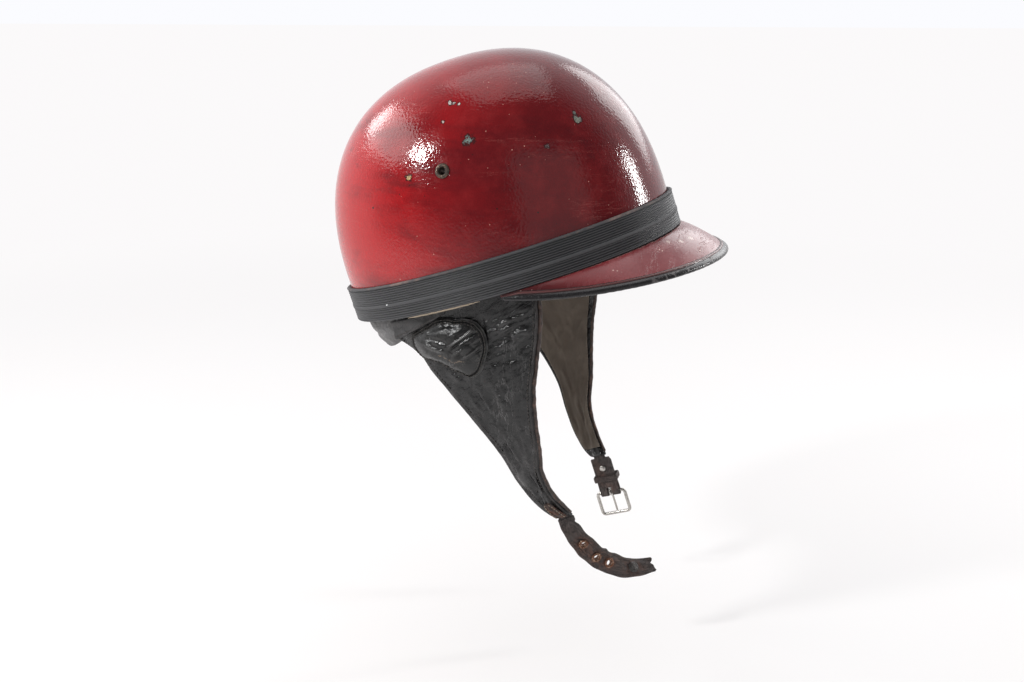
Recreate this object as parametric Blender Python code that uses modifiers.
# Open-face riding helmet: an oval hard shell with a rubber rim band, a drooping peak,
# a laced webbing cradle inside, leather ear flaps with padded ear pockets, a neck curtain,
# a chin strap on the right and its buckle on the left.
#
# Metres. The model stands as worn: +Z up, the wearer looks along -Y and the right side is -X.
# Everything is laid out in the helmet's own frame, whose XY plane is the rim's lower edge and
# whose origin is the middle of the rim; an empty tips that frame back by WORN_TILT.

import math

import bmesh
import bpy
import numpy as np
from mathutils import Matrix, Vector

# Attitude and clearances
WORN_TILT = math.radians(18.3)
GAP = 0.0003
CLEARANCE = 0.0006
SEAM_GAP = 0.00095
HINGE_GAP = 0.0013
CUT_OVERRUN = 0.004

# Shell: an oval wall under a superelliptic dome
HALF_LENGTH = 0.131
HALF_WIDTH = 0.109
DOME_HEIGHT = 0.142
PLAN_POWER = 2.29
RISE_POWER = 2.39
SHELL_WALL = 0.0035
OVAL_SEGMENTS = 48
DOME_RINGS = 10

# Rubber rim band, a channel that grips the shell's edge
BAND_HEIGHT = 0.0264
BAND_PROUD = 0.0034
BAND_FLOOR = 0.0022
BAND_LIP = 0.0021
BAND_CURL = 0.0012
BAND_LEG_WALL = 0.0018
BAND_LEG_HEIGHT = 0.010
BEAD_HEIGHT = 0.0024
BEAD_PROUD = 0.0003
RIB_DEPTH = 0.0005
LOWER_ZONE = 0.0088
LOWER_RIBS = 3
UPPER_RIBS = 4

# Peak
PEAK_REACH = 0.0285
PEAK_DROP = 0.0268
PEAK_THICKNESS = 0.0020
PEAK_START = math.radians(-171.0)
PEAK_END_DROP = 0.0015
PEAK_BINDING_RADIUS = 0.0019
PEAK_MARGIN = 0.0026
PEAK_FULLNESS_POWER = 2.6
PEAK_END_POWER = 0.35
PEAK_DROOP_POWER = 1.8
BRIM_OUT_POWER = 0.9
BRIM_DOWN_POWER = 1.15
PEAK_COLUMNS = 32
PEAK_ROWS = 5

# Vent eyelets, one on each side
VENT_ANGLE = math.radians(182.6)
VENT_RISE = math.radians(23.7)
VENT_HOLE_RADIUS = 0.0026
VENT_BARREL_WALL = 0.0008
VENT_FLANGE_RADIUS = 0.0053
VENT_FLANGE = 0.0010
VENT_WASHER = 0.0008
VENT_SEAT = 0.0009

# Cork liner in the crown
CORK_THICKNESS = 0.007
CORK_FIRST_RING = 2

# Harness: a tape riveted under the rim band and six cradle straps laced at the crown
TAPE_FOOT = 0.0120
TAPE_HEIGHT = 0.0190
TAPE_THICKNESS = 0.0016
WEB_THICKNESS = 0.0012
WEB_WIDTH = 0.020
WEB_CROWN_WIDTH = 0.012
WEB_COUNT = 6
CRADLE_HEIGHT = 0.128
CRADLE_POWER = 1.8
LACE_REACH_SHARE = 0.26
LACE_RADIUS = 0.0015
LOOP_EASE = 0.0008
LACE_TAIL = 0.014
LACE_PARTING = 0.0046
LACE_STEPS = 30
KNOT_HEIGHT = 0.0050
KNOT_WALL = 0.0014
RETURN_LENGTH = 0.014
WEB_STEPS = 8
LOOP_STEPS = 5

# Harness rivets, whose outer ends lie hidden behind the band
RIVET_HEIGHT = 0.0205
RIVET_SHANK_RADIUS = 0.0016
RIVET_HEAD_RADIUS = 0.0042
RIVET_HEAD = 0.0016
RIVET_CLENCH_RADIUS = 0.0032
RIVET_CLENCH = 0.0008
ROUND_SEGMENTS = 12

# Sweatband
SWEAT_FOOT = 0.0035
SWEAT_HEIGHT = 0.040
SWEAT_THICKNESS = 0.0036

# Leather margins sewn inside the band, and the neck curtain
LEATHER = 0.0020
MARGIN_HEIGHT = 0.0094
CURTAIN_DROP = 0.0265
CURTAIN_TUCK = 0.0075
CURTAIN_THICKNESS = 0.0030
CURTAIN_COLUMNS = 24
CURTAIN_ROWS = 6

# Ear flaps: drops and places back along the helmet are measured from the rim
FLAP_LENGTH = 0.188
FLAP_THICKNESS = 0.0024
FLAP_LINING = 0.0014
FLAP_TUCK = 0.039
FLAP_STRAIGHT = 0.040
FLAP_TUCK_POWER = 1.82
FLAP_COLUMNS = 7
FLAP_ROWS = 15
PIPING_RADIUS = 0.0017
PIPING_STEPS = 18
LINING_INSET_SHARE = 0.06
FOLD_DROP = 0.012
FOLD_OUTSET = 0.0075

# The flap's front and rear edges: (drop, back) as shares of FLAP_LENGTH
flap_front_shares = ((0.0, -0.245), (0.15, -0.205), (0.44, -0.085), (0.64, -0.030),
                     (0.79, 0.010), (0.87, 0.006), (1.0, -0.027))
flap_rear_shares = ((0.0, 0.385), (0.05, 0.405), (0.09, 0.41), (0.12, 0.365), (0.16, 0.325),
                    (0.234, 0.293), (0.33, 0.245), (0.43, 0.202), (0.543, 0.16),
                    (0.64, 0.133), (0.78, 0.118), (0.90, 0.092), (0.97, 0.060), (1.0, 0.037))

# Top strip over the flap's rear corner
STRIP_DROP = 0.0155
STRIP_THICKNESS = 0.0016
STRIP_FRONT_SHARE = 0.13
STRIP_REAR_SHARE = 0.402
STRIP_LEAD = 0.0012

# Padded ear pocket: its middle on the flap and its outline as shares of POCKET_LENGTH
POCKET_LENGTH = 0.060
POCKET_BACK = 0.030
POCKET_DROP = 0.0295
POCKET_LEATHER = 0.0016
POCKET_BULGE = 0.0070
POCKET_GRID = 10
pocket_outline_shares = ((0.50, -0.25), (0.36, -0.285), (0.20, -0.33), (-0.18, -0.32), (-0.33, -0.29),
                         (-0.43, -0.22), (-0.48, -0.10), (-0.47, 0.07), (-0.38, 0.23),
                         (-0.28, 0.36), (-0.15, 0.41), (-0.04, 0.33), (0.09, 0.24),
                         (0.21, 0.15), (0.34, 0.09), (0.44, 0.05), (0.52, -0.12))

# Leather lap sewn over the flap's tip
LAP_LENGTH = 0.016
LAP_RISE = 0.0026
LAP_WIDTH = 0.0095
LAP_THICKNESS = 0.0016
LAP_END_SHARE = 0.12

# Chin strap, stiff with age and curling forward under the jaw
STRAP_LENGTH = 0.100
STRAP_THICKNESS = 0.0024
STRAP_TOP_WIDTH = 0.0110
STRAP_WIDTH = 0.0178
STRAP_TIP_WIDTH = 0.0112
STRAP_COLUMNS = 4
STRAP_ROWS = 18
# The strap's middle line below the flap's tip: (inward, forward, down) as shares of its length
strap_path_shares = ((0.0, 0.0, 0.0), (0.03, 0.0, 0.09), (0.11, 0.03, 0.27), (0.19, 0.07, 0.44),
                     (0.26, 0.15, 0.55), (0.36, 0.27, 0.66), (0.48, 0.42, 0.72))
strap_width_shares = ((0.0, 0.0), (0.12, 0.35), (0.30, 1.0), (0.55, 1.0), (1.0, 0.2))
EYELET_PLACE_SHARES = (0.34, 0.50, 0.64)
STUD_PLACE_SHARE = 0.84
EYELET_HOLE_RADIUS = 0.0019
EYELET_WALL = 0.0007
EYELET_FLANGE_RADIUS = 0.0041
EYELET_FLANGE = 0.0006
STUD_CAP_RADIUS = 0.0045
STUD_CAP_HEIGHT = 0.0016
STUD_POST_RADIUS = 0.0016
STUD_FOOT_RADIUS = 0.0030
STUD_FOOT_HEIGHT = 0.0028

# Buckle on the left flap: leather tab folded round the frame's bar
TAB_LENGTH = 0.034
TAB_WIDTH = 0.0175
TAB_LEATHER = 0.0018
TAB_FRONT_SHORT = 0.004
BAR_RADIUS = 0.0015
FRAME_WIDTH = 0.0280
FRAME_HEIGHT = 0.0200
FRAME_CORNER = 0.0028
PRONG_RADIUS = 0.0009
PRONG_SLOT = 0.0042
PRONG_SLOT_RISE = 0.0050
PRONG_OVERHANG = 0.0022
PRONG_EYE_TURN = math.radians(270.0)
PRONG_EYE_STEPS = 12
TAB_FOLD_STEPS = 8
TAB_RIVET_DROP = 0.0110
TAB_RIVET_RADIUS = 0.0013
TAB_RIVET_HEAD_RADIUS = 0.0029
TAB_RIVET_HEAD = 0.0011
KEEPER_DROP = 0.0180
KEEPER_HEIGHT = 0.0050
KEEPER_LEATHER = 0.0014

# Radii, outsets and heights that follow from the sizes above
WALL_INSIDE = -(SHELL_WALL + GAP)
LEG_INSIDE = WALL_INSIDE - BAND_LEG_WALL
MARGIN_OUTSET = LEG_INSIDE - GAP
TAPE_INSIDE = WALL_INSIDE - TAPE_THICKNESS
WEB_OUTSIDE = TAPE_INSIDE - CLEARANCE
WEB_INSIDE = WEB_OUTSIDE - WEB_THICKNESS
RIVET_SEAT = WEB_INSIDE - GAP
SWEAT_OUTSIDE = RIVET_SEAT - RIVET_HEAD - CLEARANCE
SHELL_FOOT = BAND_FLOOR + GAP
FRONT = -math.pi / 2
REAR = math.pi / 2

palette = {
    "shell_paint": ((0.30, 0.012, 0.012), 0.28, 0.0),
    "peak_paint": ((0.22, 0.020, 0.022), 0.50, 0.0),
    "rim_rubber": ((0.025, 0.026, 0.028), 0.55, 0.0),
    "black_leather": ((0.020, 0.019, 0.020), 0.42, 0.0),
    "worn_leather": ((0.075, 0.045, 0.035), 0.60, 0.0),
    "strap_leather": ((0.060, 0.050, 0.047), 0.65, 0.0),
    "lining_cloth": ((0.16, 0.13, 0.10), 0.90, 0.0),
    "sweat_leather": ((0.20, 0.10, 0.05), 0.55, 0.0),
    "cork": ((0.38, 0.24, 0.13), 0.90, 0.0),
    "webbing": ((0.55, 0.50, 0.40), 0.90, 0.0),
    "lace_cotton": ((0.62, 0.57, 0.47), 0.90, 0.0),
    "aged_brass": ((0.35, 0.22, 0.09), 0.45, 0.9),
    "nickel": ((0.55, 0.54, 0.52), 0.35, 1.0),
}


# Scene, materials and objects

def clear_scene():
    for thing in list(bpy.data.objects):
        bpy.data.objects.remove(thing, do_unlink=True)


def new_collection(name):
    collection = bpy.data.collections.new(name)
    bpy.context.scene.collection.children.link(collection)
    return collection


clear_scene()
parts = new_collection("riding_helmet")
cutters = new_collection("cutters")


def new_empty(name, location, parent=None, tilt=0.0):
    empty = bpy.data.objects.new(name, None)
    empty.location = location
    empty.rotation_euler = (tilt, 0.0, 0.0)
    empty.parent = parent
    parts.objects.link(empty)
    return empty


worn_tilt = new_empty("worn_tilt", (0.0, 0.0, 0.0), tilt=-WORN_TILT)


def paint(name, finish):
    """Give each part its own material in one of the palette's finishes."""
    colour, roughness, metallic = palette[finish]
    material = bpy.data.materials.new(name)
    material.use_nodes = True
    shader = material.node_tree.nodes["Principled BSDF"]
    shader.inputs["Base Color"].default_value = (*colour, 1.0)
    shader.inputs["Roughness"].default_value = roughness
    shader.inputs["Metallic"].default_value = metallic
    return material


def new_part(name, mesh, finish, origin=None, parent=worn_tilt, axis=None, sharp=40.0):
    """Turn a bmesh into a named object; axis turns its local Z along a direction.

    With an origin and no axis, the mesh is already in the parent's frame and keeps its place."""
    if origin is not None and axis is None:
        bmesh.ops.translate(mesh, verts=mesh.verts, vec=-Vector(origin))
    data = bpy.data.meshes.new(name)
    mesh.to_mesh(data)
    mesh.free()
    data.shade_smooth()
    data.set_sharp_from_angle(angle=math.radians(sharp))
    part = bpy.data.objects.new(name, data)
    data.materials.append(paint(name, finish))
    part.parent = parent
    if origin is not None:
        part.location = origin
    if axis is not None:
        part.rotation_mode = "QUATERNION"
        part.rotation_quaternion = Vector(axis).to_track_quat("Z", "Y")
    parts.objects.link(part)
    return part


def thicken(part, thickness, offset):
    """Solidify: offset -1 grows the wall against the normals, 1 along them."""
    wall = part.modifiers.new("wall", "SOLIDIFY")
    wall.thickness = thickness
    wall.offset = offset
    wall.use_even_offset = True
    return part


def as_cutter(part):
    parts.objects.unlink(part)
    cutters.objects.link(part)
    part.hide_render = True
    part.display_type = "WIRE"
    return part


def cut(part, cutter):
    hole = part.modifiers.new("cut", "BOOLEAN")
    hole.operation = "DIFFERENCE"
    hole.solver = "EXACT"
    hole.object = cutter


def baked(part):
    """The mesh that a part's modifiers make, in its own space."""
    bpy.context.view_layer.update()
    return bpy.data.meshes.new_from_object(part.evaluated_get(bpy.context.evaluated_depsgraph_get()))


def mirrored(part, name, finish):
    """The same piece on the wearer's other side."""
    mesh = bmesh.new()
    data = baked(part)
    mesh.from_mesh(data)
    bpy.data.meshes.remove(data)
    bmesh.ops.scale(mesh, verts=mesh.verts, vec=(-1.0, 1.0, 1.0))
    bmesh.ops.reverse_faces(mesh, faces=mesh.faces)
    twin = new_part(name, mesh, finish)
    twin.location = (-part.location.x, part.location.y, part.location.z)
    return twin


# Shapes

def smooth_through(pairs, place):
    """A smooth curve through (place, value) pairs, read at one place."""
    places = np.array([pair[0] for pair in pairs])
    values = np.array([pair[1:] for pair in pairs], dtype=float)
    slopes = np.gradient(values, places, axis=0)
    left = int(np.clip(np.searchsorted(places, place) - 1, 0, len(places) - 2))
    span = places[left + 1] - places[left]
    t = (place - places[left]) / span
    start = (2 * t**3 - 3 * t**2 + 1) * values[left]
    start_slope = (t**3 - 2 * t**2 + t) * span * slopes[left]
    end = (-2 * t**3 + 3 * t**2) * values[left + 1]
    end_slope = (t**3 - t**2) * span * slopes[left + 1]
    result = start + start_slope + end + end_slope
    return float(result[0]) if result.size == 1 else Vector(result)


def oval_normal(angle):
    normal = Vector((math.cos(angle) / HALF_WIDTH, math.sin(angle) / HALF_LENGTH, 0.0))
    return normal.normalized()


def oval_point(angle, outset, height):
    """A point of the plan oval, moved out along the oval's normal and up."""
    on_oval = Vector((HALF_WIDTH * math.cos(angle), HALF_LENGTH * math.sin(angle), height))
    return on_oval + outset * oval_normal(angle)


def dome_point(angle, rise, outset):
    reach = math.cos(rise) ** (2.0 / PLAN_POWER)
    lift = math.sin(rise) ** (2.0 / RISE_POWER)
    return Vector(((HALF_WIDTH + outset) * reach * math.cos(angle),
                   (HALF_LENGTH + outset) * reach * math.sin(angle),
                   BAND_HEIGHT + (DOME_HEIGHT + outset) * lift))


def dome_normal(angle, rise):
    small = math.radians(0.5)
    along = dome_point(angle + small, rise, 0.0) - dome_point(angle - small, rise, 0.0)
    up = dome_point(angle, rise + small, 0.0) - dome_point(angle, rise - small, 0.0)
    return along.cross(up).normalized()


def dome(name, finish, outset, first_ring, foot=None):
    """Open dome surface from one of its rings to the crown, with a straight wall to a foot."""
    mesh = bmesh.new()
    bmesh.ops.create_uvsphere(mesh, u_segments=OVAL_SEGMENTS, v_segments=2 * DOME_RINGS, radius=1.0)
    lowest = math.sin(math.pi / 2 * (first_ring - 0.5) / DOME_RINGS)
    bmesh.ops.delete(mesh, geom=[v for v in mesh.verts if v.co.z < lowest], context="VERTS")
    for vert in mesh.verts:
        angle = math.atan2(vert.co.y, vert.co.x)
        rise = math.asin(min(1.0, max(0.0, vert.co.z)))
        vert.co = dome_point(angle, rise, outset)
    if foot is not None:
        rim = [edge for edge in mesh.edges if edge.is_boundary]
        extruded = bmesh.ops.extrude_edge_only(mesh, edges=rim)["geom"]
        for vert in [item for item in extruded if isinstance(item, bmesh.types.BMVert)]:
            vert.co.z = foot
    bmesh.ops.recalc_face_normals(mesh, faces=mesh.faces)
    return new_part(name, mesh, finish)


def spin_section(section, steps, closed):
    """Spin a section of (radius, height) points about the local Z axis."""
    mesh = bmesh.new()
    verts = [mesh.verts.new((radius, 0.0, height)) for radius, height in section]
    edges = [mesh.edges.new(pair) for pair in zip(verts, verts[1:])]
    if closed:
        edges.append(mesh.edges.new((verts[-1], verts[0])))
    bmesh.ops.spin(mesh, geom=verts + edges, cent=(0.0, 0.0, 0.0), axis=(0.0, 0.0, 1.0),
                   angle=2.0 * math.pi, steps=steps, use_merge=True)
    bmesh.ops.remove_doubles(mesh, verts=mesh.verts, dist=GAP / 10.0)
    bmesh.ops.recalc_face_normals(mesh, faces=mesh.faces)
    return mesh


def ring(name, finish, section):
    """A closed section of (outset, height) points carried round the plan oval."""
    mesh = spin_section([(HALF_LENGTH + outset, height) for outset, height in section],
                        OVAL_SEGMENTS, True)
    for vert in mesh.verts:
        angle = math.atan2(vert.co.y, vert.co.x)
        outset = math.hypot(vert.co.x, vert.co.y) - HALF_LENGTH
        vert.co = oval_point(angle, outset, vert.co.z)
    return new_part(name, mesh, finish)


def turned(name, finish, section, origin, axis, parent=worn_tilt, closed=False):
    """A turned piece; its section starts and ends on the axis unless it is closed."""
    mesh = spin_section(section, ROUND_SEGMENTS, closed)
    return new_part(name, mesh, finish, origin=origin, parent=parent, axis=axis)


def round_cutter(name, section, origin, axis, parent=worn_tilt):
    return as_cutter(turned(name, "nickel", section, origin, axis, parent))


def sheet(name, finish, place, columns, rows, thickness, offset, origin=None, parent=worn_tilt):
    """A grid whose points place(across, along) lays out, given a thickness."""
    mesh = bmesh.new()
    bmesh.ops.create_grid(mesh, x_segments=columns, y_segments=rows, size=0.5)
    for vert in mesh.verts:
        vert.co = place(vert.co.x + 0.5, vert.co.y + 0.5)
    return thicken(new_part(name, mesh, finish, origin=origin, parent=parent), thickness, offset)


def tube(name, finish, points, radius, origin=None, parent=worn_tilt, cyclic=False, sides=2):
    """A bevelled curve through points, turned into a mesh."""
    shift = Vector(origin) if origin is not None else Vector()
    curve = bpy.data.curves.new(name, "CURVE")
    curve.dimensions = "3D"
    curve.bevel_depth = radius
    curve.bevel_resolution = sides
    curve.use_fill_caps = not cyclic
    spline = curve.splines.new("POLY")
    spline.points.add(len(points) - 1)
    for knot, point in zip(spline.points, points):
        knot.co = (*(Vector(point) - shift), 1.0)
    spline.use_cyclic_u = cyclic
    guide = bpy.data.objects.new(name + "_guide", curve)
    parts.objects.link(guide)
    data = baked(guide)
    bpy.data.objects.remove(guide, do_unlink=True)
    mesh = bmesh.new()
    mesh.from_mesh(data)
    bpy.data.meshes.remove(data)
    bmesh.ops.remove_doubles(mesh, verts=mesh.verts, dist=GAP / 10.0)
    bmesh.ops.recalc_face_normals(mesh, faces=mesh.faces)
    part = new_part(name, mesh, finish, parent=parent)
    part.location = shift
    return part


# Shell, rim band and peak

def rim_band_section():
    """Channel section: ribbed outer leg, floor under the shell's edge, short inner leg."""
    outer = [(BAND_PROUD - BAND_CURL, 0.0), (BAND_PROUD, BAND_CURL)]
    zones = ((BAND_CURL, LOWER_ZONE, LOWER_RIBS, BEAD_HEIGHT),
             (BAND_CURL + LOWER_ZONE + BEAD_HEIGHT,
              BAND_HEIGHT - BAND_LIP - BAND_CURL - LOWER_ZONE - BEAD_HEIGHT, UPPER_RIBS, 0.0))
    for foot, height, ribs, bead in zones:
        pitch = height / ribs
        for rib in range(ribs):
            outer.append((BAND_PROUD - RIB_DEPTH, foot + pitch * (rib + 0.25)))
            outer.append((BAND_PROUD, foot + pitch * (rib + 0.75)))
        if bead:
            outer.append((BAND_PROUD + BEAD_PROUD, foot + height + bead / 4))
            outer.append((BAND_PROUD + BEAD_PROUD, foot + height + 3 * bead / 4))
    lip = BAND_HEIGHT - BAND_LIP
    outer += [(BAND_PROUD, lip), (BAND_PROUD, BAND_HEIGHT - BAND_LIP / 3),
              ((BAND_PROUD + GAP) / 2, BAND_HEIGHT), (GAP, BAND_HEIGHT)]
    channel = [(GAP, BAND_FLOOR), (WALL_INSIDE, BAND_FLOOR), (WALL_INSIDE, BAND_LEG_HEIGHT),
               (LEG_INSIDE, BAND_LEG_HEIGHT), (LEG_INSIDE, 0.0)]
    return outer + channel


def peak_angle(across):
    """From the peak's right end round the front to its left end."""
    half_span = FRONT - PEAK_START
    return FRONT + half_span * (2.0 * across - 1.0)


def peak_point(across, along):
    """Top face of the peak: the margin under the band first, then the drooping brim."""
    angle = peak_angle(across)
    side = abs(2.0 * across - 1.0)
    fullness = (1.0 - side**PEAK_FULLNESS_POWER) * math.cos(side * math.pi / 2) ** PEAK_END_POWER
    droop = PEAK_END_DROP + (PEAK_DROP - PEAK_END_DROP) * (1.0 - side**PEAK_DROOP_POWER)
    margin_share = 1.0 / PEAK_ROWS
    bend = BAND_PROUD - BAND_CURL
    if along <= margin_share:
        return oval_point(angle, (bend + PEAK_MARGIN) * along / margin_share - PEAK_MARGIN, -GAP)
    brim = (along - margin_share) / (1.0 - margin_share)
    outset = bend + PEAK_REACH * fullness * brim**BRIM_OUT_POWER
    return oval_point(angle, outset, -GAP - droop * brim**BRIM_DOWN_POWER)


def make_shell():
    shell = dome("shell", "shell_paint", 0.0, 0, foot=SHELL_FOOT)
    thicken(shell, SHELL_WALL, -1.0)
    ring("rim_band", "rim_rubber", rim_band_section())
    return shell


def make_peak():
    sheet("peak", "peak_paint", peak_point, PEAK_COLUMNS, PEAK_ROWS, PEAK_THICKNESS, 1.0)
    edge = []
    for step in range(1, PEAK_COLUMNS):
        across = step / PEAK_COLUMNS
        lip = peak_point(across, 1.0)
        lean = (lip - peak_point(across, 1.0 - 0.5 / PEAK_ROWS)).normalized()
        along = peak_point(across + 0.5 / PEAK_COLUMNS, 1.0) - peak_point(across - 0.5 / PEAK_COLUMNS, 1.0)
        below = lean.cross(along).normalized()
        if below.z > 0.0:
            below.negate()
        edge.append(lip + below * PEAK_THICKNESS / 2 + lean * (PEAK_BINDING_RADIUS + GAP))
    tube("peak_binding", "black_leather", edge, PEAK_BINDING_RADIUS)


# Liner, vents and harness

def make_cork():
    cork = dome("cork_liner", "cork", WALL_INSIDE, CORK_FIRST_RING)
    return thicken(cork, CORK_THICKNESS, -1.0)


def make_vent(side, shell, cork):
    """Flanged eyelet through shell and cork, clenched over a washer inside."""
    label = "right" if side < 0 else "left"
    angle = VENT_ANGLE if side < 0 else math.pi - VENT_ANGLE
    seat = dome_point(angle, VENT_RISE, 0.0)
    normal = dome_normal(angle, VENT_RISE)
    barrel = VENT_HOLE_RADIUS + VENT_BARREL_WALL
    depth = SHELL_WALL + GAP + CORK_THICKNESS
    bore = round_cutter("vent_bore_" + label,
                        [(0.0, CUT_OVERRUN), (barrel + GAP, CUT_OVERRUN),
                         (barrel + GAP, -depth - CUT_OVERRUN), (0.0, -depth - CUT_OVERRUN)],
                        seat, normal)
    cut(shell, bore)
    cut(cork, bore)
    washer = -depth - VENT_SEAT
    clench = washer - VENT_WASHER - GAP
    turned("vent_eyelet_" + label, "aged_brass",
           [(VENT_HOLE_RADIUS, VENT_FLANGE), (barrel, GAP + VENT_FLANGE),
            (VENT_FLANGE_RADIUS, GAP + VENT_FLANGE / 2), (VENT_FLANGE_RADIUS, GAP),
            (barrel, GAP), (barrel, clench), (VENT_HOLE_RADIUS, clench)],
           seat, normal, closed=True)
    turned("vent_washer_" + label, "aged_brass",
           [(barrel + GAP, washer), (VENT_FLANGE_RADIUS, washer),
            (VENT_FLANGE_RADIUS, washer - VENT_WASHER), (barrel + GAP, washer - VENT_WASHER)],
           seat, normal, closed=True)


def cradle_point(angle, rise, inset):
    """The cradle's own dome, from the tape's top to the crown lace."""
    reach = math.cos(rise) ** (2.0 / CRADLE_POWER)
    tape_top = TAPE_FOOT + TAPE_HEIGHT
    foot = WEB_OUTSIDE - inset
    return Vector(((HALF_WIDTH + foot) * reach * math.cos(angle),
                   (HALF_LENGTH + foot) * reach * math.sin(angle),
                   tape_top + (CRADLE_HEIGHT - tape_top - inset) * math.sin(rise)))


def lace_rise():
    return math.acos(LACE_REACH_SHARE ** (CRADLE_POWER / 2.0))


def web_path(angle):
    """Middle line of a cradle strap: up the tape, over the head, round the lace and back."""
    middle = WEB_THICKNESS / 2
    foot = oval_point(angle, WEB_OUTSIDE - middle, TAPE_FOOT)
    path = [foot, oval_point(angle, WEB_OUTSIDE - middle, RIVET_HEIGHT)]
    path += [cradle_point(angle, lace_rise() * step / WEB_STEPS, middle)
             for step in range(WEB_STEPS + 1)]
    end = path[-1]
    lean = (end - path[-2]).normalized()
    side = lean.cross(Vector((0.0, 0.0, 1.0))).normalized()
    inside = side.cross(lean).normalized()
    if inside.z > 0.0:
        inside.negate()
    turn = LACE_RADIUS + CLEARANCE + LOOP_EASE + middle
    for step in range(1, LOOP_STEPS + 1):
        swing = math.pi * step / LOOP_STEPS
        path.append(end + inside * turn * (1.0 - math.cos(swing)) + lean * turn * math.sin(swing))
    shut = WEB_THICKNESS + CLEARANCE
    for back in (0.5, 1.0):
        drop = 2.0 * turn + (shut - 2.0 * turn) * back
        path.append(end - lean * RETURN_LENGTH * back + inside * drop)
    return path


def lace_centre(angle):
    path = web_path(angle)
    arc_start = len(path) - 3 - LOOP_STEPS
    return (path[arc_start] + path[arc_start + LOOP_STEPS]) / 2


def make_web(number, angle):
    """Webbing strap laid across the tangent of the oval along its path."""
    path = web_path(angle)
    rows = len(path) - 1
    tangent = Vector((0.0, 0.0, 1.0)).cross(oval_normal(angle))
    narrowing = WEB_CROWN_WIDTH / WEB_WIDTH

    def place(across, along):
        row = round(along * rows)
        lift = min(1.0, max(0.0, (path[row].z - TAPE_HEIGHT) / (CRADLE_HEIGHT - TAPE_HEIGHT)))
        width = WEB_WIDTH * (1.0 + (narrowing - 1.0) * lift)
        shift = (across - 0.5) * width
        bend = shift**2 / (2.0 * HALF_WIDTH) * (1.0 - lift)
        return path[row] + tangent * shift - oval_normal(angle) * bend

    return sheet("cradle_strap_%d" % number, "webbing", place, 2, rows, WEB_THICKNESS, 0.0)


def make_harness(shell):
    tape = ring("harness_tape", "webbing",
                [(WALL_INSIDE, TAPE_FOOT), (WALL_INSIDE, TAPE_FOOT + TAPE_HEIGHT),
                 (TAPE_INSIDE, TAPE_FOOT + TAPE_HEIGHT), (TAPE_INSIDE, TAPE_FOOT)])
    for index in range(WEB_COUNT):
        angle = REAR + 2.0 * math.pi * index / WEB_COUNT
        web = make_web(index + 1, angle)
        normal = oval_normal(angle)
        seat = oval_point(angle, 0.0, RIVET_HEIGHT)
        clench_floor = -RIVET_CLENCH - GAP
        bore = RIVET_SHANK_RADIUS + GAP
        hole = round_cutter("rivet_bore_%d" % (index + 1),
                            [(0.0, CUT_OVERRUN), (RIVET_CLENCH_RADIUS + GAP, CUT_OVERRUN),
                             (RIVET_CLENCH_RADIUS + GAP, clench_floor - GAP),
                             (bore, clench_floor - GAP), (bore, WEB_INSIDE - CUT_OVERRUN),
                             (0.0, WEB_INSIDE - CUT_OVERRUN)], seat, normal)
        for piece in (shell, tape, web):
            cut(piece, hole)
        turned("harness_rivet_%d" % (index + 1), "nickel",
               [(0.0, -GAP), (RIVET_CLENCH_RADIUS, -GAP), (RIVET_CLENCH_RADIUS, clench_floor),
                (RIVET_SHANK_RADIUS, clench_floor), (RIVET_SHANK_RADIUS, RIVET_SEAT),
                (RIVET_HEAD_RADIUS, RIVET_SEAT),
                (RIVET_HEAD_RADIUS, RIVET_SEAT - RIVET_HEAD / 3),
                (RIVET_HEAD_RADIUS / 2, RIVET_SEAT - RIVET_HEAD),
                (0.0, RIVET_SEAT - RIVET_HEAD)], seat, normal)


def make_lace():
    """The crown lace: once round through the six loops, its ends hanging at the rear left."""
    start = REAR + math.pi / WEB_COUNT
    points = []
    for step in range(LACE_STEPS + 1):
        share = step / LACE_STEPS
        centre = lace_centre(start + 2.0 * math.pi * share)
        points.append(centre)
    ring_radius = math.hypot(points[0].x, points[0].y)
    parting = LACE_PARTING / ring_radius / 2
    first = lace_centre(start + parting)
    last = lace_centre(start - parting)
    points = [first] + points[1:-1] + [last]
    down = Vector((0.0, 0.0, -1.0))
    bend = LACE_RADIUS * 2.0
    points = ([first + down * (LACE_TAIL + bend), first + down * bend] + points
              + [last + down * bend, last + down * (LACE_TAIL + bend)])
    tube("crown_lace", "lace_cotton", points, LACE_RADIUS, sides=1)
    middle = (first + last) / 2 + down * (bend * 1.5)
    across = (last - first).normalized()
    inner = LACE_RADIUS + GAP
    stretch = (first - last).length / 2
    mesh = spin_section([(inner, 0.0), (inner + KNOT_WALL, -KNOT_HEIGHT / 4),
                         (inner + KNOT_WALL, -3 * KNOT_HEIGHT / 4), (inner, -KNOT_HEIGHT)],
                        ROUND_SEGMENTS, True)
    for vert in mesh.verts:
        vert.co.x += stretch if vert.co.x > 0.0 else -stretch
    bmesh.ops.rotate(mesh, verts=mesh.verts, cent=(0.0, 0.0, 0.0),
                     matrix=Matrix.Rotation(math.atan2(across.y, across.x), 3, "Z"))
    bmesh.ops.translate(mesh, verts=mesh.verts, vec=middle)
    new_part("lace_knot", mesh, "lace_cotton")


def make_sweatband():
    """Leather band round the head, held on the harness rivets."""
    inside = SWEAT_OUTSIDE - SWEAT_THICKNESS
    middle = SWEAT_OUTSIDE - SWEAT_THICKNESS / 2
    top = SWEAT_FOOT + SWEAT_HEIGHT
    ring("sweatband", "sweat_leather",
         [(SWEAT_OUTSIDE, SWEAT_FOOT), (SWEAT_OUTSIDE, top - SWEAT_THICKNESS / 2), (middle, top),
          (inside, top - SWEAT_THICKNESS / 2), (inside, SWEAT_FOOT)])


# Leather skirt: margins, neck curtain and ear flaps

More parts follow.
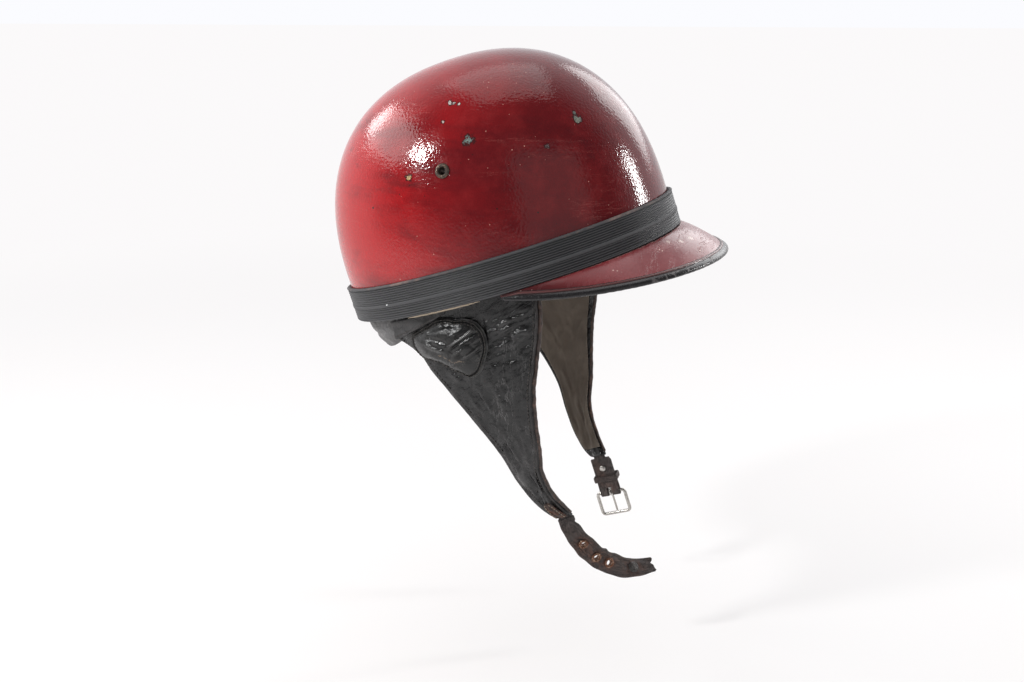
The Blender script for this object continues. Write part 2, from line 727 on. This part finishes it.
def side_angle(back):
    """Angle on the oval, right side, of a place back along the helmet."""
    return math.pi - math.asin(back / HALF_LENGTH)


def make_flap_margin():
    """The flap's sewn margin, standing inside the band's inner leg."""
    front = side_angle(flap_front_shares[0][1] * FLAP_LENGTH)
    rear = side_angle(flap_rear_shares[0][1] * FLAP_LENGTH)

    def place(across, along):
        angle = front + (rear - front) * across
        return oval_point(angle, MARGIN_OUTSET, GAP + MARGIN_HEIGHT * (1.0 - along))

    margin = sheet("flap_margin_right", "black_leather", place, 16, 1, LEATHER, -1.0)
    mirrored(margin, "flap_margin_left", "black_leather")


def make_curtain():
    """Padded roll of leather round the nape, from flap to flap, tucking in below."""
    end = side_angle(flap_rear_shares[2][1] * FLAP_LENGTH + CLEARANCE + LEATHER)
    start = end
    finish = math.pi - end

    def place(across, along):
        angle = start + (finish - start) * across
        drop = (MARGIN_HEIGHT + CURTAIN_DROP) * along - MARGIN_HEIGHT
        below = max(0.0, drop) / CURTAIN_DROP
        end_share = min(1.0, min(across, 1.0 - across) * CURTAIN_COLUMNS / 6.0)
        depth = 0.62 + 0.38 * math.sin(end_share * math.pi / 2)
        height = -drop if drop < 0.0 else -drop * depth
        return oval_point(angle, MARGIN_OUTSET - CURTAIN_TUCK * below**2, height)

    sheet("neck_curtain", "black_leather", place, CURTAIN_COLUMNS, CURTAIN_ROWS,
          CURTAIN_THICKNESS, -1.0)


def flap_face(back, drop):
    """The right flap's outer face: upright under the rim, then tucking in towards the jaw."""
    fall = max(0.0, drop - FLAP_STRAIGHT) / (FLAP_LENGTH - FLAP_STRAIGHT)
    half = HALF_WIDTH + MARGIN_OUTSET - FLAP_TUCK * fall**FLAP_TUCK_POWER
    return Vector((-half * math.sqrt(1.0 - (back / HALF_LENGTH) ** 2), back, -drop))


def flap_skin(back, drop, outset):
    """Point of the flap's face moved out along its normal."""
    along = flap_face(back + LEATHER, drop) - flap_face(back - LEATHER, drop)
    down = flap_face(back, drop + LEATHER) - flap_face(back, drop - LEATHER)
    return flap_face(back, drop) + outset * along.cross(down).normalized()


def flap_edges(share):
    front = FLAP_LENGTH * smooth_through(flap_front_shares, share)
    rear = FLAP_LENGTH * smooth_through(flap_rear_shares, share)
    return front, rear


def fold_line():
    """Two points of the line along which the right flap folds, outside the seam's ends."""
    front, rear = flap_edges(0.0)
    return (flap_skin(front, FOLD_DROP, FOLD_OUTSET), flap_skin(rear, FOLD_DROP, FOLD_OUTSET))


def flap_pivot():
    front, rear = fold_line()
    return (front + rear) / 2


def flap_row(along):
    """Rows crowd towards the rim, where the outline turns sharply."""
    top = SEAM_GAP / FLAP_LENGTH
    return top + (1.0 - top) * along**1.25


def make_flap(pivot):
    def outer(across, along):
        share = flap_row(along)
        front, rear = flap_edges(share)
        return flap_skin(front + (rear - front) * across, share * FLAP_LENGTH, 0.0)

    def inner(across, along):
        share = flap_row(along * (1.0 - LINING_INSET_SHARE) + LINING_INSET_SHARE / 2)
        front, rear = flap_edges(share)
        inset = LINING_INSET_SHARE + (1.0 - 2.0 * LINING_INSET_SHARE) * across
        lining_face = -FLAP_THICKNESS - CLEARANCE
        return flap_skin(front + (rear - front) * inset, share * FLAP_LENGTH, lining_face)

    def strip(across, along):
        front = STRIP_FRONT_SHARE * FLAP_LENGTH
        rear = STRIP_REAR_SHARE * FLAP_LENGTH
        back = front + (rear - front) * across
        depth = STRIP_DROP * (0.10 + 0.90 * across**0.9)
        drop = SEAM_GAP + STRIP_LEAD + (depth - STRIP_LEAD) * along
        return flap_skin(back, drop, STRIP_THICKNESS + CLEARANCE)

    pieces = [
        sheet("ear_flap_right", "black_leather", outer, FLAP_COLUMNS, FLAP_ROWS,
              FLAP_THICKNESS, -1.0, origin=pivot),
        sheet("flap_lining_right", "lining_cloth", inner, FLAP_COLUMNS - 2, FLAP_ROWS - 4,
              FLAP_LINING, -1.0, origin=pivot),
        sheet("flap_strip_right", "black_leather", strip, 8, 1, STRIP_THICKNESS, -1.0,
              origin=pivot),
        make_pocket(pivot),
        make_piping(pivot),
        make_lap(pivot),
    ]
    for piece in pieces:
        finish = piece.data.materials[0].node_tree.nodes["Principled BSDF"]
        mirrored_twin(piece, finish)


def mirrored_twin(piece, shader):
    """Left-hand copy with the right-hand piece's finish."""
    twin = mirrored(piece, piece.name.replace("right", "left"), "black_leather")
    copy = twin.data.materials[0].node_tree.nodes["Principled BSDF"]
    for socket in ("Base Color", "Roughness", "Metallic"):
        copy.inputs[socket].default_value = shader.inputs[socket].default_value


def pocket_reach(bearing):
    """Distance from the pocket's middle to its outline at a bearing."""
    bearings = np.array([math.atan2(drop, back) for back, drop in pocket_outline_shares])
    reaches = np.array([math.hypot(back, drop) for back, drop in pocket_outline_shares])
    order = np.argsort(bearings)
    return POCKET_LENGTH * float(np.interp(bearing, bearings[order], reaches[order],
                                           period=2.0 * math.pi))


def make_pocket(pivot):
    def place(across, along):
        a, b = 2.0 * across - 1.0, 2.0 * along - 1.0
        reach = max(abs(a), abs(b))
        bearing = math.atan2(b, a)
        radius = reach * pocket_reach(bearing)
        back = POCKET_BACK + radius * math.cos(bearing)
        drop = POCKET_DROP + radius * math.sin(bearing)
        bulge = POCKET_BULGE * (1.0 - reach**2.5) ** 0.8
        return flap_skin(back, drop, CLEARANCE + POCKET_LEATHER + bulge)

    return sheet("ear_pocket_right", "black_leather", place, POCKET_GRID, POCKET_GRID,
                 POCKET_LEATHER, -1.0, origin=pivot)


def make_piping(pivot):
    """Corded piping down the flap's front edge."""
    points = []
    for step in range(PIPING_STEPS + 1):
        share = flap_row(0.015 + 0.97 * step / PIPING_STEPS)
        front, _ = flap_edges(share)
        ahead = PIPING_RADIUS + CLEARANCE
        points.append(flap_skin(front - ahead, share * FLAP_LENGTH, -FLAP_THICKNESS / 2))
    return tube("flap_piping_right", "worn_leather", points, PIPING_RADIUS, origin=pivot, sides=1)


def make_lap(pivot):
    """Round-ended patch sewn over the flap's tip, where the strap or tab is held."""

    def place(across, along):
        width = LAP_WIDTH * math.sqrt(max(LAP_END_SHARE, 1.0 - (1.0 - along) ** 3))
        drop = FLAP_LENGTH - LAP_RISE - LAP_LENGTH * (1.0 - along)
        centre = sum(flap_edges(drop / FLAP_LENGTH)) / 2
        return flap_skin(centre + width * (across - 0.5), drop, LAP_THICKNESS + CLEARANCE)

    return sheet("strap_lap_right", "strap_leather", place, 4, 6, LAP_THICKNESS, -1.0,
                 origin=pivot)


# Chin strap and buckle

def flap_tip(drop=0.0):
    front, rear = flap_edges(1.0)
    return flap_skin((front + rear) / 2, FLAP_LENGTH + drop, -FLAP_THICKNESS / 2)


def strap_line(along):
    """Place, run and face direction of the chin strap's middle line, seen from its hinge."""
    count = len(strap_path_shares)
    knots = [(index / (count - 1), *shares) for index, shares in enumerate(strap_path_shares)]
    small = 0.01

    def at(place):
        inward, forward, down = smooth_through(knots, place)
        return Vector((inward, -forward, -down)) * STRAP_LENGTH

    run = (at(min(1.0, along + small)) - at(max(0.0, along - small))).normalized()
    face = Vector((-1.0, -0.25, -0.25)).lerp(Vector((-0.75, -0.10, 0.80)), along)
    face = (face - run * face.dot(run)).normalized()
    start = flap_tip(SEAM_GAP) - flap_tip()
    return start + at(along), run, face


def strap_width(along):
    share = smooth_through(strap_width_shares, along)
    narrow = STRAP_TOP_WIDTH if along < 0.5 else STRAP_TIP_WIDTH
    return narrow + (STRAP_WIDTH - narrow) * min(1.0, max(0.0, share))


def make_strap():
    """The strap, its eyelets and its stud hang together from the right flap's tip."""
    hinge = new_empty("strap_hinge", flap_tip(), parent=worn_tilt)

    def place(across, along):
        middle, run, face = strap_line(along)
        side = run.cross(face)
        return middle + side * strap_width(along) * (across - 0.5)

    strap = sheet("chin_strap", "strap_leather", place, STRAP_COLUMNS, STRAP_ROWS,
                  STRAP_THICKNESS, 0.0, parent=hinge)
    face_height = STRAP_THICKNESS / 2 + GAP
    wall = EYELET_HOLE_RADIUS + EYELET_WALL
    for index, along in enumerate(EYELET_PLACE_SHARES):
        middle, run, face = strap_line(along)
        bore = wall + GAP
        reach = STRAP_THICKNESS + CUT_OVERRUN
        hole = round_cutter("eyelet_bore_%d" % (index + 1),
                            [(0.0, reach), (bore, reach), (bore, -reach), (0.0, -reach)],
                            middle, face, hinge)
        cut(strap, hole)
        top = face_height + CLEARANCE
        turned("strap_eyelet_%d" % (index + 1), "aged_brass",
               [(EYELET_HOLE_RADIUS, top + EYELET_FLANGE), (wall, top + EYELET_FLANGE),
                (EYELET_FLANGE_RADIUS, top), (wall, top), (wall, -top), (EYELET_HOLE_RADIUS, -top)],
               middle, face, parent=hinge, closed=True)
    middle, run, face = strap_line(STUD_PLACE_SHARE)
    bore = STUD_POST_RADIUS + GAP
    reach = STRAP_THICKNESS + CUT_OVERRUN
    hole = round_cutter("stud_bore", [(0.0, reach), (bore, reach), (bore, -reach), (0.0, -reach)],
                        middle, face, hinge)
    cut(strap, hole)
    top = face_height + CLEARANCE / 2
    turned("press_stud", "nickel",
           [(0.0, top + STUD_CAP_HEIGHT), (STUD_CAP_RADIUS / 2, top + STUD_CAP_HEIGHT),
            (STUD_CAP_RADIUS, top + STUD_CAP_HEIGHT / 3), (STUD_CAP_RADIUS, top),
            (STUD_POST_RADIUS, top), (STUD_POST_RADIUS, -top), (STUD_FOOT_RADIUS, -top),
            (STUD_FOOT_RADIUS, -top - STUD_FOOT_HEIGHT / 2),
            (STUD_FOOT_RADIUS / 2, -top - STUD_FOOT_HEIGHT), (0.0, -top - STUD_FOOT_HEIGHT)],
           middle, face, parent=hinge)


def tab_layer():
    """How far each layer of the folded tab lies from the fold's middle plane."""
    return (TAB_LEATHER + CLEARANCE) / 2


def bar_turn():
    """Radius at which the tab's leather wraps the buckle's bar."""
    return BAR_RADIUS + GAP + TAB_LEATHER / 2


def tab_path():
    """Section of the folded tab, local (outward, up), from the back layer's top round the bar."""
    layer = tab_layer()
    turn = bar_turn()
    path = [(-layer, -HINGE_GAP), (-layer, -TAB_RIVET_DROP), (-layer, -KEEPER_DROP)]
    path.append((-turn, -TAB_LENGTH + turn))
    for step in range(TAB_FOLD_STEPS + 1):
        swing = math.pi * step / TAB_FOLD_STEPS
        path.append((-turn * math.cos(swing), -TAB_LENGTH - turn * math.sin(swing)))
    path.append((turn, -TAB_LENGTH + turn))
    path += [(layer, -KEEPER_DROP), (layer, -TAB_RIVET_DROP), (layer, -TAB_FRONT_SHORT)]
    return path


def box(name, finish, low, high, parent):
    """Axis-aligned block between two corners of the parent's frame."""
    mesh = bmesh.new()
    bmesh.ops.create_cube(mesh, size=1.0)
    bmesh.ops.scale(mesh, verts=mesh.verts, vec=high - low)
    bmesh.ops.translate(mesh, verts=mesh.verts, vec=(high + low) / 2)
    return new_part(name, mesh, finish, parent=parent)


def rounded_frame():
    """Middle line of the buckle's frame: its top bar lies on the local Y axis."""
    half = FRAME_WIDTH / 2 - BAR_RADIUS
    corners = ((half, 0.0, 0), (half, -FRAME_HEIGHT, 1), (-half, -FRAME_HEIGHT, 2), (-half, 0.0, 3))
    points = []
    for y, z, quarter in corners:
        centre_y = y - math.copysign(FRAME_CORNER, y)
        centre_z = z + (FRAME_CORNER if z < 0.0 else -FRAME_CORNER)
        for step in range(4):
            swing = math.pi / 2 - (quarter + step / 3) * math.pi / 2
            points.append(Vector((0.0, centre_y + FRAME_CORNER * math.cos(swing),
                                  centre_z + FRAME_CORNER * math.sin(swing))))
    return points


def make_buckle():
    """The buckle hangs from the left flap's tip; the tab's back layer turns on the hinge."""
    tip = flap_tip()
    tip.x = -tip.x
    hinge = new_empty("tab_hinge", tip, parent=worn_tilt)
    fold = Vector((tab_layer(), 0.0, 0.0))
    bar = fold + Vector((0.0, 0.0, -TAB_LENGTH))
    path = tab_path()
    rows = len(path) - 1

    def place(across, along):
        outward, up = path[round(along * rows)]
        return fold + Vector((outward, (across - 0.5) * TAB_WIDTH, up))

    tab = sheet("buckle_tab", "strap_leather", place, 2, rows, TAB_LEATHER, 0.0, parent=hinge)
    slot_half = Vector((TAB_LENGTH, PRONG_SLOT / 2, PRONG_SLOT_RISE))
    slot = box("prong_slot", "nickel", bar - slot_half, bar + slot_half, hinge)
    cut(tab, as_cutter(slot))
    face = TAB_LEATHER + CLEARANCE / 2 + GAP
    rivet_place = fold + Vector((0.0, 0.0, -TAB_RIVET_DROP))
    outward = Vector((1.0, 0.0, 0.0))
    bore = TAB_RIVET_RADIUS + GAP
    reach = face + CUT_OVERRUN
    cut(tab, round_cutter("tab_rivet_bore", [(0.0, reach), (bore, reach), (bore, -reach), (0.0, -reach)],
                          rivet_place, outward, hinge))
    turned("tab_rivet", "nickel",
           [(0.0, face + TAB_RIVET_HEAD), (TAB_RIVET_HEAD_RADIUS / 2, face + TAB_RIVET_HEAD),
            (TAB_RIVET_HEAD_RADIUS, face), (TAB_RIVET_RADIUS, face), (TAB_RIVET_RADIUS, -face),
            (TAB_RIVET_HEAD_RADIUS, -face), (TAB_RIVET_HEAD_RADIUS / 2, -face - TAB_RIVET_HEAD),
            (0.0, -face - TAB_RIVET_HEAD)], rivet_place, outward, parent=hinge)
    make_keeper(hinge, fold)
    frame = [bar + point for point in rounded_frame()]
    tube("buckle_frame", "nickel", frame, BAR_RADIUS, origin=bar, parent=hinge, cyclic=True)
    eye = BAR_RADIUS + GAP + PRONG_RADIUS
    prong = [Vector((eye, 0.0, -FRAME_HEIGHT - PRONG_OVERHANG)), Vector((eye, 0.0, -FRAME_HEIGHT / 2))]
    for step in range(PRONG_EYE_STEPS + 1):
        swing = PRONG_EYE_TURN * step / PRONG_EYE_STEPS
        prong.append(Vector((eye * math.cos(swing), 0.0, eye * math.sin(swing))))
    tube("buckle_prong", "nickel", [bar + point for point in prong], PRONG_RADIUS, origin=bar,
         parent=hinge, sides=1)


def make_keeper(hinge, fold):
    """Leather keeper round the tab, with room in front for the strap's end."""
    layer = tab_layer()
    spread = layer + (bar_turn() - layer) * (KEEPER_HEIGHT / (TAB_LENGTH - KEEPER_DROP))
    back = spread + TAB_LEATHER / 2 + CLEARANCE
    half = TAB_WIDTH / 2 + CLEARANCE
    low = fold + Vector((-back, -half, -KEEPER_DROP - KEEPER_HEIGHT))
    high = fold + Vector((back + STRAP_THICKNESS + CLEARANCE, half, -KEEPER_DROP))
    wall = Vector((KEEPER_LEATHER, KEEPER_LEATHER, 0.0))
    overrun = Vector((0.0, 0.0, CUT_OVERRUN))
    keeper = box("keeper_loop", "strap_leather", low - wall, high + wall, hinge)
    throat = box("keeper_throat", "nickel", low - overrun, high + overrun, hinge)
    cut(keeper, as_cutter(throat))


shell_part = make_shell()
make_peak()
cork_part = make_cork()
make_vent(-1, shell_part, cork_part)
make_vent(1, shell_part, cork_part)
make_harness(shell_part)
make_lace()
make_sweatband()
make_flap_margin()
make_curtain()
make_flap(flap_pivot())
make_strap()
make_buckle()
bpy.context.view_layer.update()
